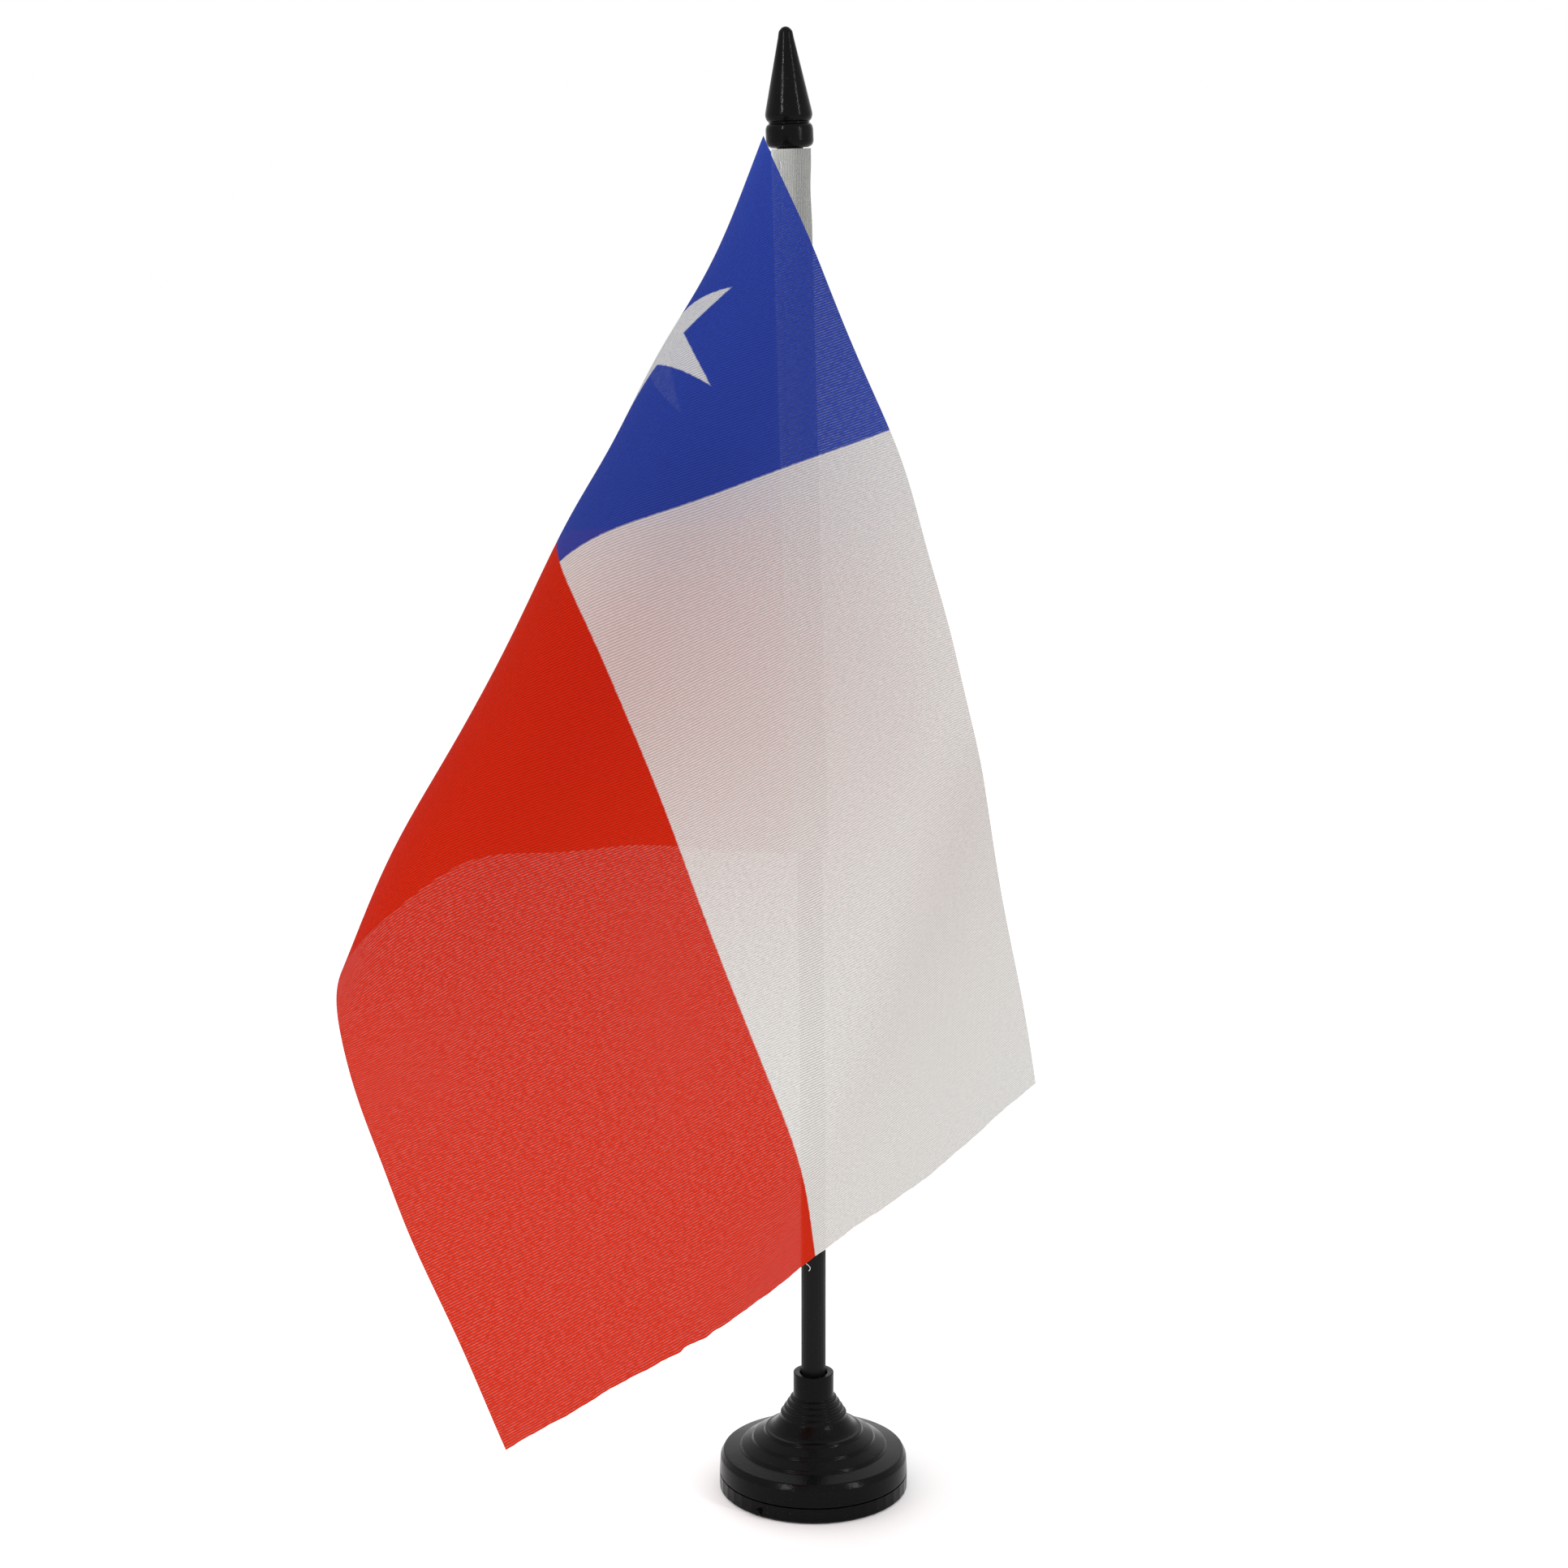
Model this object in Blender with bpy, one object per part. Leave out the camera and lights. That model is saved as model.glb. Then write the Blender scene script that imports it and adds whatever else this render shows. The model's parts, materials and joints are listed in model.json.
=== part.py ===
"""Desk flag stand: a weighted round base, a slender pole, a spear finial and a small flag.

Metres, +Z up. The origin is the centre of the base's underside. The pole stands in the base's
socket, bows gently towards -X, and carries the flag's sleeve under the finial. The flag leaves
the sleeve towards -X and -Y, folds over once and hangs back across the front of the pole.
"""
import math

import bmesh
import bpy
from mathutils import Matrix, Vector

# ---------------------------------------------------------------- driving dimensions (metres)
GAP = 0.0003                    # air between two pieces that touch

BASE_RADIUS = 0.0201            # at the foot
WALL_DRAFT = 0.0002             # how much the side wall leans in by its top
SEAM_HEIGHT = 0.0035            # split between the bottom plate and the cover
WALL_HEIGHT = 0.0071            # top of the side wall
SHOULDER_RUN = 0.0007           # rounded corner between the side wall and the crown
SHOULDER_RISE = 0.0013
COVER_WALL = 0.0015

BAND_RUN = 0.00123              # smooth band between the outermost ring and the shoulder
RING_COUNT = 3                  # broad soft rings on the crown
RING_RISE = 0.00177
RING_LIP = 0.0007               # drop just outside each ring's edge
RING_LIP_SHARE = 0.10           # of the ring's run that the drop takes
FIRST_RING_RISE = 0.0027        # of the outermost ring's edge above the side wall
FLARE_SHARE = 0.24              # of the crown's run: concave flare inside the rings
FLARE_RISE = 0.0028

STEP_COUNT = 4                  # narrow steps under the socket collar
STEP_SHARE = 0.20               # of the crown's run, all steps together
STEP_RISE = 0.0011
STEP_SLOPE = 0.25               # of each step's rise that its tread slopes
COLLAR_LENGTH = 0.0053
COLLAR_WALL = 0.00145
COLLAR_ROUND = 0.0005

PLATE_FLOOR = 0.0016
PLATE_WALL = 0.0016
PLATE_CHAMFER = 0.0004
SPIGOT_WALL = 0.0013
BOSS_FLOOR = 0.0012             # closed end of the socket
BOSS_SHOULDER = 0.0015          # ledge that holds the weight down
EAVES_DROP = 0.0006             # of the hollow's outer edge below the top of the side wall
BALLAST_HEADROOM = 0.0008       # between the weight and the hollow's outer edge
BALLAST_CHAMFER = 0.0003

GATE_ANGLE = math.radians(235)  # where the moulding gate was broken off
GATE_RADIUS = 0.0009
GATE_TAPER = 0.7                # outer end's radius as a share of the inner end's
GATE_PROUD = 0.0008

POLE_RADIUS = 0.0026
POLE_PER_HOIST = 2.0664         # the pole's length as a multiple of the flag's hoist
POLE_BOW_RADIUS = 6.4           # the pole is straight in its socket and bows above it
POLE_END_CHAMFER = 0.0003
SOCKET_CLEARANCE = 0.00025

FINIAL_WALL = 0.00185           # round the bore, at the lower bead
FINIAL_COLLAR = 0.0050          # height of the lower bead
FINIAL_ROUND = 0.0011           # rounding of the bead and of the cone's foot
FINIAL_GROOVE_DEPTH = 0.0006
FINIAL_GROOVE_RISE = 0.0003     # of the groove's floor above the bead
FINIAL_CONE_RISE = 0.0019       # of the cone's widest ring above the bead
FINIAL_CONE_INSET = 0.00012     # how much slimmer the cone is than the bead
FINIAL_HEIGHT = 0.0233
FINIAL_TIP_RADIUS = 0.00145
FINIAL_TIP_HEIGHT = 0.00167     # of the rounded tip
FINIAL_BORE_SHARE = 0.49        # of the finial's height
FINIAL_CLEARANCE = 0.00025

FLAG_HOIST = 0.140              # along the pole
FLY_PER_HOIST = 1.5             # the 2:3 flag, measured from the seam to the fly edge
CLOTH = 0.0005                  # one layer, as a solid
SLEEVE_CLEARANCE = 0.00085      # between the pole and the loose sleeve
HEM_WIDTH = 0.0085              # two layers lying flat from the loop to the flag's field
HEM_HEADING = math.radians(41.4)    # turned from -X towards -Y
FOLD_SLANT = math.radians(38.1)     # the fold runs down and outwards from the hoist
FOLD_TURN = math.radians(158.0)
CURL_TURN = math.radians(31.9)      # the fly curls away again
FOLD_LEAD_SHARE = 0.0529        # these five are multiples of the hoist: where the fold crosses the top
FOLD_START_SHARE = -0.1329      # edge, then where the fold and the curl start and how wide they are,
FOLD_WIDTH_SHARE = 0.3236       # measured square to the fold
CURL_START_SHARE = 0.6457
CURL_WIDTH_SHARE = 0.1429
GRIP_SHARE = 0.16               # of the hoist: how far out the seam still holds the cloth flat

STITCH_LENGTH = 0.0040
THREAD_RADIUS = 0.00017
STITCH_INSET = 0.0022           # from the hem's outer edge
STITCH_LIFT = 0.00016           # how far each stitch arches over the cloth
STITCH_POINTS = 3               # along each stitch

TURNED_SIDES = 44
POLE_SIDES = 20
POLE_RINGS = 12
FINIAL_SIDES = 28
SLEEVE_SIDES = 20
GATE_SIDES = 10
THREAD_ROUNDNESS = 1
CUTTER_PER_HOIST = 3            # the sleeve's bore cutter is centred on its top and passes its foot
FLARE_STEPS = 3
COLLAR_ARC_STEPS = 3
SHOULDER_ARC_STEPS = 4
BEAD_ARC_STEPS = 4
TIP_ARC_STEPS = 5
BEAD_TOP_ANGLE = 80             # these angles are in degrees from the radius direction
CONE_FOOT_START = -70
CONE_FOOT_END = 12
TIP_START_ANGLE = 10
FLAG_COLUMNS = 30
FLAG_ROWS = 20
FOLD_SAMPLES = 700
SHARP_ANGLE = math.radians(35)
WELD_DISTANCE = 1e-6

# ---------------------------------------------------------------- derived places
SOCKET_RADIUS = POLE_RADIUS + SOCKET_CLEARANCE
COLLAR_RADIUS = SOCKET_RADIUS + COLLAR_WALL
CROWN_RUN = BASE_RADIUS - WALL_DRAFT - SHOULDER_RUN - BAND_RUN - COLLAR_RADIUS
STEP_RUN = STEP_SHARE * CROWN_RUN / STEP_COUNT
FLARE_RUN = FLARE_SHARE * CROWN_RUN
RING_RUN = (1 - STEP_SHARE - FLARE_SHARE) * CROWN_RUN / RING_COUNT
EAVES_HEIGHT = WALL_HEIGHT - EAVES_DROP
BALLAST_FLOOR = PLATE_FLOOR + GAP
BALLAST_TOP = EAVES_HEIGHT - BALLAST_HEADROOM
SOCKET_FLOOR = BALLAST_FLOOR + BOSS_FLOOR
CROWN_HEIGHT = WALL_HEIGHT + FIRST_RING_RISE + (RING_COUNT - 1) * RING_RISE + FLARE_RISE
COLLAR_BASE = CROWN_HEIGHT + STEP_COUNT * STEP_RISE
COLLAR_TOP = COLLAR_BASE + COLLAR_LENGTH
POLE_FOOT = SOCKET_FLOOR + GAP
POLE_TIP = POLE_FOOT + POLE_PER_HOIST * FLAG_HOIST
FINIAL_BORE_RADIUS = POLE_RADIUS + FINIAL_CLEARANCE
FINIAL_BORE_DEPTH = FINIAL_BORE_SHARE * FINIAL_HEIGHT
FINIAL_RADIUS = FINIAL_BORE_RADIUS + FINIAL_WALL
FINIAL_CONE_RADIUS = FINIAL_RADIUS - FINIAL_CONE_INSET
FINIAL_SEAT = POLE_TIP + GAP - FINIAL_BORE_DEPTH
FLAG_LENGTH = FLY_PER_HOIST * FLAG_HOIST
FOLD_LEAD = FOLD_LEAD_SHARE * FLAG_HOIST
FOLD_START = FOLD_START_SHARE * FLAG_HOIST
FOLD_WIDTH = FOLD_WIDTH_SHARE * FLAG_HOIST
CURL_START = CURL_START_SHARE * FLAG_HOIST
CURL_WIDTH = CURL_WIDTH_SHARE * FLAG_HOIST
GRIP_LENGTH = GRIP_SHARE * FLAG_HOIST
SLEEVE_INNER = POLE_RADIUS + SLEEVE_CLEARANCE
SLEEVE_OUTER = SLEEVE_INNER + CLOTH
SLEEVE_MIDDLE = SLEEVE_INNER + CLOTH / 2
SLEEVE_TOP = FINIAL_SEAT - 2 * GAP
SLEEVE_FOOT = SLEEVE_TOP - FLAG_HOIST


def pole_offset(height):
    """Sideways place of the pole's centre line at a height."""
    return -0.5 * max(height - COLLAR_TOP, 0.0) ** 2 / POLE_BOW_RADIUS


def pole_lean(height):
    """Angle of the pole's centre line from the vertical, towards -X."""
    return max(height - COLLAR_TOP, 0.0) / POLE_BOW_RADIUS


# ---------------------------------------------------------------- helpers
def clear_scene():
    """Removes whatever the file opened with."""
    for item in list(bpy.data.objects):
        bpy.data.objects.remove(item, do_unlink=True)


def plain_material(name, colour, roughness, metallic=0.0):
    """A Principled material of one colour."""
    material = bpy.data.materials.new(name)
    material.use_nodes = True
    shader = material.node_tree.nodes["Principled BSDF"]
    shader.inputs["Base Color"].default_value = (*colour, 1.0)
    shader.inputs["Roughness"].default_value = roughness
    shader.inputs["Metallic"].default_value = metallic
    return material


def add_object(name, mesh, material):
    """Links a mesh into the scene as a named object."""
    item = bpy.data.objects.new(name, mesh)
    bpy.context.scene.collection.objects.link(item)
    mesh.materials.append(material)
    return item


def finish_mesh(name, work):
    """Turns the faces outwards and writes a bmesh into a new mesh."""
    bmesh.ops.recalc_face_normals(work, faces=work.faces)
    mesh = bpy.data.meshes.new(name)
    work.to_mesh(mesh)
    work.free()
    mesh.shade_smooth()
    mesh.set_sharp_from_angle(angle=SHARP_ANGLE)
    return mesh


def turned_mesh(name, outline, sides):
    """Spins an outline of (radius, height) points round Z. Its ends lie on the axis or meet."""
    work = bmesh.new()
    points = [work.verts.new((radius, 0.0, height)) for radius, height in outline]
    edges = [work.edges.new(pair) for pair in zip(points, points[1:])]
    bmesh.ops.spin(
        work, geom=points + edges, axis=(0, 0, 1), cent=(0, 0, 0),
        angle=2 * math.pi, steps=sides, use_merge=True, use_duplicate=False,
    )
    bmesh.ops.remove_doubles(work, verts=work.verts, dist=WELD_DISTANCE)
    return finish_mesh(name, work)


def arc_points(centre, radii, start, end, count):
    """Points of an elliptical arc in the outline's plane, angles in degrees."""
    turned = []
    for index in range(count + 1):
        angle = math.radians(start + (end - start) * index / count)
        along = centre[0] + radii[0] * math.cos(angle)
        up = centre[1] + radii[1] * math.sin(angle)
        turned.append((along, up))
    return turned


def combine(target, tool, operation):
    """Applies an exact Boolean and removes the tool."""
    modifier = target.modifiers.new("combine", "BOOLEAN")
    modifier.operation = operation
    modifier.solver = "EXACT"
    modifier.object = tool
    bpy.context.view_layer.update()
    evaluated = target.evaluated_get(bpy.context.evaluated_depsgraph_get())
    mesh = bpy.data.meshes.new_from_object(evaluated)
    target.modifiers.remove(modifier)
    target.data = mesh
    bpy.data.objects.remove(tool, do_unlink=True)


# ---------------------------------------------------------------- base
def crown_outline():
    """Outer outline of the cover from the collar's rim down to the seam."""
    rim_centre = (COLLAR_RADIUS - COLLAR_ROUND, COLLAR_TOP - COLLAR_ROUND)
    outline = arc_points(rim_centre, (COLLAR_ROUND, COLLAR_ROUND), 90, 0, COLLAR_ARC_STEPS)
    radius, height = COLLAR_RADIUS, COLLAR_BASE
    outline.append((radius, height))
    for _ in range(STEP_COUNT):
        radius += STEP_RUN
        outline.append((radius, height - STEP_SLOPE * STEP_RISE))
        height -= STEP_RISE
        outline.append((radius, height))
    for index in range(1, FLARE_STEPS):
        part = index / FLARE_STEPS
        outline.append((radius + part * FLARE_RUN, height - FLARE_RISE * math.sin(part * math.pi / 2)))
    radius += FLARE_RUN
    height -= FLARE_RISE
    for _ in range(RING_COUNT):
        outline.append((radius, height))
        outline.append((radius + RING_LIP_SHARE * RING_RUN, height - RING_LIP))
        radius += RING_RUN
        height -= RING_RISE
    wall_top = BASE_RADIUS - WALL_DRAFT
    shoulder = (wall_top - SHOULDER_RUN, WALL_HEIGHT)
    outline += arc_points(shoulder, (SHOULDER_RUN, SHOULDER_RISE), 90, 0, SHOULDER_ARC_STEPS)
    outline.append((BASE_RADIUS, SEAM_HEIGHT + GAP / 2))
    return outline


def inside_outline():
    """Inner outline of the cover from the seam up under the crown and down the socket boss."""
    spigot_outer = BASE_RADIUS - PLATE_WALL - GAP
    spigot_inner = spigot_outer - SPIGOT_WALL
    outline = [
        (spigot_outer, SEAM_HEIGHT + GAP / 2),
        (spigot_outer, BALLAST_FLOOR),
        (spigot_inner, BALLAST_FLOOR),
        (spigot_inner, EAVES_HEIGHT),
    ]
    radius = COLLAR_RADIUS + STEP_COUNT * STEP_RUN + FLARE_RUN + (RING_COUNT - 1) * RING_RUN
    height = WALL_HEIGHT + FIRST_RING_RISE - RING_LIP - COVER_WALL
    for _ in range(RING_COUNT):
        if radius < spigot_inner - GAP:
            outline.append((radius, height))
        radius -= RING_RUN
        height += RING_RISE
    boss_radius = COLLAR_RADIUS + BOSS_SHOULDER
    outline += [
        (boss_radius, CROWN_HEIGHT - COVER_WALL),
        (boss_radius, BALLAST_TOP + GAP),
        (COLLAR_RADIUS, BALLAST_TOP + GAP),
        (COLLAR_RADIUS, BALLAST_FLOOR),
        (0.0, BALLAST_FLOOR),
    ]
    return outline


def make_base_cover(material):
    """The stepped cover with the pole's socket."""
    socket = [
        (0.0, SOCKET_FLOOR),
        (SOCKET_RADIUS, SOCKET_FLOOR),
        (SOCKET_RADIUS, COLLAR_TOP - COLLAR_ROUND / 2),
        (SOCKET_RADIUS + COLLAR_ROUND / 2, COLLAR_TOP),
    ]
    mesh = turned_mesh("base_cover", socket + crown_outline() + inside_outline(), TURNED_SIDES)
    return add_object("base_cover", mesh, material)


def make_bottom_plate(material):
    """The shallow tray that closes the base, with the broken gate on its rim."""
    rim = SEAM_HEIGHT - GAP / 2
    outline = [
        (0.0, 0.0),
        (BASE_RADIUS - PLATE_CHAMFER, 0.0),
        (BASE_RADIUS, PLATE_CHAMFER),
        (BASE_RADIUS, rim),
        (BASE_RADIUS - PLATE_WALL, rim),
        (BASE_RADIUS - PLATE_WALL, PLATE_FLOOR),
        (0.0, PLATE_FLOOR),
    ]
    plate = add_object("base_bottom_plate", turned_mesh("base_bottom_plate", outline, TURNED_SIDES), material)
    work = bmesh.new()
    bmesh.ops.create_cone(
        work, cap_ends=True, segments=GATE_SIDES, radius1=GATE_RADIUS,
        radius2=GATE_TAPER * GATE_RADIUS, depth=PLATE_WALL / 2 + GATE_PROUD,
    )
    nub = add_object("gate_nub", finish_mesh("gate_nub", work), material)
    reach = BASE_RADIUS + GATE_PROUD - (PLATE_WALL / 2 + GATE_PROUD) / 2
    outward = Vector((math.cos(GATE_ANGLE), math.sin(GATE_ANGLE), 0.0))
    nub.matrix_world = (
        Matrix.Translation(outward * reach + Vector((0, 0, PLATE_CHAMFER + GATE_RADIUS)))
        @ outward.to_track_quat("Z", "Y").to_matrix().to_4x4()
    )
    combine(plate, nub, "UNION")
    return plate


def make_ballast(material):
    """The steel ring that keeps the stand upright."""
    inner = COLLAR_RADIUS + GAP
    outer = BASE_RADIUS - PLATE_WALL - SPIGOT_WALL - 2 * GAP
    cut = BALLAST_CHAMFER
    outline = [
        (inner, BALLAST_TOP),
        (outer - cut, BALLAST_TOP),
        (outer, BALLAST_TOP - cut),
        (outer, BALLAST_FLOOR + cut),
        (outer - cut, BALLAST_FLOOR),
        (inner, BALLAST_FLOOR),
        (inner, BALLAST_TOP),
    ]
    return add_object("ballast_weight", turned_mesh("ballast_weight", outline, TURNED_SIDES), material)


# ---------------------------------------------------------------- pole and finial
def make_pole(material):
    """A round rod, straight in the socket and gently bowed above it."""
    heights = [POLE_FOOT, POLE_FOOT + POLE_END_CHAMFER, COLLAR_TOP]
    span = POLE_TIP - POLE_END_CHAMFER - COLLAR_TOP
    heights += [COLLAR_TOP + span * (index + 1) / POLE_RINGS for index in range(POLE_RINGS)]
    heights.append(POLE_TIP)
    work = bmesh.new()
    loops = []
    for height in heights:
        at_end = height in (POLE_FOOT, POLE_TIP)
        radius = POLE_RADIUS - POLE_END_CHAMFER if at_end else POLE_RADIUS
        place = Matrix.Translation((pole_offset(height), 0, height)) @ Matrix.Rotation(
            -pole_lean(height), 4, "Y"
        )
        ring = bmesh.ops.create_circle(
            work, cap_ends=at_end, segments=POLE_SIDES, radius=radius, matrix=place
        )
        loops.append(ring["verts"])
    for lower, upper in zip(loops, loops[1:]):
        for side in range(POLE_SIDES):
            following = (side + 1) % POLE_SIDES
            work.faces.new((lower[side], lower[following], upper[following], upper[side]))
    return add_object("pole", finish_mesh("pole", work), material)


def finial_outline():
    """Outline of the spear: bead, groove, cone and round tip, with the blind bore for the pole."""
    rounding = (FINIAL_ROUND, FINIAL_ROUND)
    bead = FINIAL_RADIUS - FINIAL_ROUND
    tip_start = FINIAL_HEIGHT - FINIAL_TIP_HEIGHT
    outline = [
        (0.0, FINIAL_BORE_DEPTH),
        (FINIAL_BORE_RADIUS, FINIAL_BORE_DEPTH),
        (FINIAL_BORE_RADIUS, 0.0),
    ]
    outline += arc_points((bead, FINIAL_ROUND), rounding, -90, 0, BEAD_ARC_STEPS)
    bead_top = (bead, FINIAL_COLLAR - FINIAL_ROUND)
    outline += arc_points(bead_top, rounding, 0, BEAD_TOP_ANGLE, BEAD_ARC_STEPS)
    outline.append((FINIAL_RADIUS - FINIAL_GROOVE_DEPTH, FINIAL_COLLAR + FINIAL_GROOVE_RISE))
    cone = (FINIAL_CONE_RADIUS - FINIAL_ROUND, FINIAL_COLLAR + FINIAL_CONE_RISE)
    outline += arc_points(cone, rounding, CONE_FOOT_START, CONE_FOOT_END, BEAD_ARC_STEPS)
    tip_radii = (FINIAL_TIP_RADIUS, FINIAL_TIP_HEIGHT)
    outline += arc_points((0.0, tip_start), tip_radii, TIP_START_ANGLE, 90, TIP_ARC_STEPS)
    outline[-1] = (0.0, FINIAL_HEIGHT)      # exactly on the axis
    return outline


def make_finial(material):
    """The spear finial, pushed over the pole's end and square to it."""
    finial = add_object("finial", turned_mesh("finial", finial_outline(), FINIAL_SIDES), material)
    finial.location = (pole_offset(FINIAL_SEAT), 0, FINIAL_SEAT)
    finial.rotation_euler = (0, -pole_lean(FINIAL_SEAT), 0)
    return finial


# ---------------------------------------------------------------- flag
def hoist_frame():
    """Axis of the loose sleeve, and the hem's heading and outward normal, all unit vectors."""
    low = Vector((pole_offset(SLEEVE_FOOT), 0, SLEEVE_FOOT))
    high = Vector((pole_offset(SLEEVE_TOP), 0, SLEEVE_TOP))
    axis = (high - low).normalized()
    heading = Vector((-math.cos(HEM_HEADING), -math.sin(HEM_HEADING), 0.0))
    heading = (heading - axis * heading.dot(axis)).normalized()
    return axis, heading, axis.cross(heading)


def sleeve_centre():
    """Centre of the sleeve's top, between the bowed pole's chord and its belly."""
    middle = (SLEEVE_TOP + SLEEVE_FOOT) / 2
    chord = (pole_offset(SLEEVE_TOP) + pole_offset(SLEEVE_FOOT)) / 2
    return Vector((pole_offset(SLEEVE_TOP) + (pole_offset(middle) - chord) / 2, 0, SLEEVE_TOP))


def make_sleeve(material):
    """The loop of cloth round the pole and the flat two-layer hem beside it."""
    axis, heading, normal = hoist_frame()
    hem_end = HEM_WIDTH - GAP
    outline = [(hem_end, SLEEVE_OUTER), (0.0, SLEEVE_OUTER)]
    inner_edge = SLEEVE_OUTER - 2 * CLOTH
    lap = math.degrees(math.asin(inner_edge / SLEEVE_OUTER))
    outline += arc_points((0, 0), (SLEEVE_OUTER, SLEEVE_OUTER), 90, 360 + lap, SLEEVE_SIDES)[1:]
    outline.append((hem_end, inner_edge))
    work = bmesh.new()
    corners = [work.verts.new(heading * along + normal * out) for along, out in outline]
    face = work.faces.new(corners)
    wall = bmesh.ops.extrude_face_region(work, geom=[face])["geom"]
    moved = [item for item in wall if isinstance(item, bmesh.types.BMVert)]
    bmesh.ops.translate(work, verts=moved, vec=-axis * FLAG_HOIST)
    sleeve = add_object("hoist_sleeve", finish_mesh("hoist_sleeve", work), material)
    work = bmesh.new()
    bmesh.ops.create_cone(
        work, cap_ends=True, segments=SLEEVE_SIDES, radius1=SLEEVE_INNER,
        radius2=SLEEVE_INNER, depth=CUTTER_PER_HOIST * FLAG_HOIST,
    )
    bore = add_object("sleeve_bore", finish_mesh("sleeve_bore", work), material)
    bore.matrix_world = axis.to_track_quat("Z", "Y").to_matrix().to_4x4()
    combine(sleeve, bore, "DIFFERENCE")
    sleeve.location = sleeve_centre()
    return sleeve


def eased_turn(across, start, width, turn):
    """Angle gained by a bend of the cloth that eases in and out."""
    part = min(max((across - start) / width, 0.0), 1.0)
    return turn * part * part * (3 - 2 * part)


def fold_section():
    """The cloth's cross-section square to the fold: (across, forward, outward) samples."""
    reach = FLAG_HOIST + FLAG_LENGTH
    step = 2 * reach / FOLD_SAMPLES
    samples = []
    forward, outward = -reach, 0.0
    for index in range(FOLD_SAMPLES + 1):
        across = -reach + index * step
        samples.append((across, forward, outward))
        middle = across + step / 2
        angle = eased_turn(middle, FOLD_START, FOLD_WIDTH, FOLD_TURN)
        angle += eased_turn(middle, CURL_START, CURL_WIDTH, CURL_TURN)
        forward += step * math.cos(angle)
        outward += step * math.sin(angle)
    return samples, step


def make_flag(material):
    """The folded rectangle of cloth: one sheet, bent only square to its fold."""
    axis, heading, normal = hoist_frame()
    samples, step = fold_section()
    down = -math.cos(FOLD_SLANT) * axis + math.sin(FOLD_SLANT) * heading
    over = math.sin(FOLD_SLANT) * axis + math.cos(FOLD_SLANT) * heading
    seam = SLEEVE_MIDDLE * normal + HEM_WIDTH * heading
    root = seam + FOLD_LEAD * heading

    def folded(along, below):
        """A point of the freely folded sheet, from its distances from the seam and the top edge."""
        across = (along - FOLD_LEAD) * math.cos(FOLD_SLANT) - below * math.sin(FOLD_SLANT)
        beside = (along - FOLD_LEAD) * math.sin(FOLD_SLANT) + below * math.cos(FOLD_SLANT)
        index = (across - samples[0][0]) / step
        whole = min(int(index), len(samples) - 2)
        part = index - whole
        first, second = samples[whole], samples[whole + 1]
        forward = first[1] + part * (second[1] - first[1])
        outward = first[2] + part * (second[2] - first[2])
        return root + beside * down + forward * over + outward * normal

    def place(along, below):
        """A point of the sheet with its hoist edge held in line with the hem."""
        grip = max(1 - along / GRIP_LENGTH, 0.0) ** 2
        return folded(along, below) + grip * (seam - below * axis - folded(0.0, below))

    work = bmesh.new()
    columns = []
    for column in range(FLAG_COLUMNS + 1):
        along = FLAG_LENGTH * column / FLAG_COLUMNS
        below = [FLAG_HOIST * row / FLAG_ROWS for row in range(FLAG_ROWS + 1)]
        columns.append([work.verts.new(place(along, distance)) for distance in below])
    for left, right in zip(columns, columns[1:]):
        for row in range(FLAG_ROWS):
            work.faces.new((left[row], left[row + 1], right[row + 1], right[row]))
    flag = add_object("flag_cloth", finish_mesh("flag_cloth", work), material)
    thicken = flag.modifiers.new("cloth", "SOLIDIFY")
    thicken.thickness = CLOTH
    thicken.offset = 0.0
    flag.location = sleeve_centre()
    return flag


def make_stitching(material):
    """One thread running down the hem in short arched stitches."""
    axis, heading, normal = hoist_frame()
    surface = SLEEVE_OUTER + THREAD_RADIUS + GAP / 2
    start = (HEM_WIDTH - STITCH_INSET) * heading + surface * normal
    count = int((FLAG_HOIST - STITCH_LENGTH) / STITCH_LENGTH)
    margin = (FLAG_HOIST - count * STITCH_LENGTH) / 2
    curve = bpy.data.curves.new("sleeve_stitching", "CURVE")
    curve.dimensions = "3D"
    curve.bevel_depth = THREAD_RADIUS
    curve.bevel_resolution = THREAD_ROUNDNESS
    curve.use_fill_caps = True
    points = STITCH_POINTS * count + 1
    thread = curve.splines.new("POLY")
    thread.points.add(points - 1)
    for index in range(points):
        lift = STITCH_LIFT if index % STITCH_POINTS else 0.0
        below = margin + index * STITCH_LENGTH / STITCH_POINTS
        thread.points[index].co = (*(start - below * axis + lift * normal), 1.0)
    curve.materials.append(material)
    stitching = bpy.data.objects.new("sleeve_stitching", curve)
    stitching.location = sleeve_centre()
    bpy.context.scene.collection.objects.link(stitching)
    return stitching


def main():
    """Builds every piece of the stand."""
    clear_scene()
    base_plastic = plain_material("base_plastic", (0.012, 0.011, 0.011), 0.42)
    pole_plastic = plain_material("pole_plastic", (0.011, 0.010, 0.010), 0.48)
    finial_plastic = plain_material("finial_plastic", (0.014, 0.013, 0.012), 0.38)
    steel = plain_material("ballast_steel", (0.36, 0.35, 0.34), 0.45, 1.0)
    printed_cloth = plain_material("printed_cloth", (0.60, 0.055, 0.02), 0.85)
    white_cloth = plain_material("white_cloth", (0.72, 0.70, 0.69), 0.85)
    thread = plain_material("thread", (0.78, 0.77, 0.75), 0.8)
    make_base_cover(base_plastic)
    make_bottom_plate(base_plastic)
    make_ballast(steel)
    make_pole(pole_plastic)
    make_finial(finial_plastic)
    make_sleeve(white_cloth)
    make_flag(printed_cloth)
    make_stitching(thread)


main()
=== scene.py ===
"""Looks of the desk flag stand: one folded sheet of printed cloth, its finial, base and thread."""
import json
import math

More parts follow.
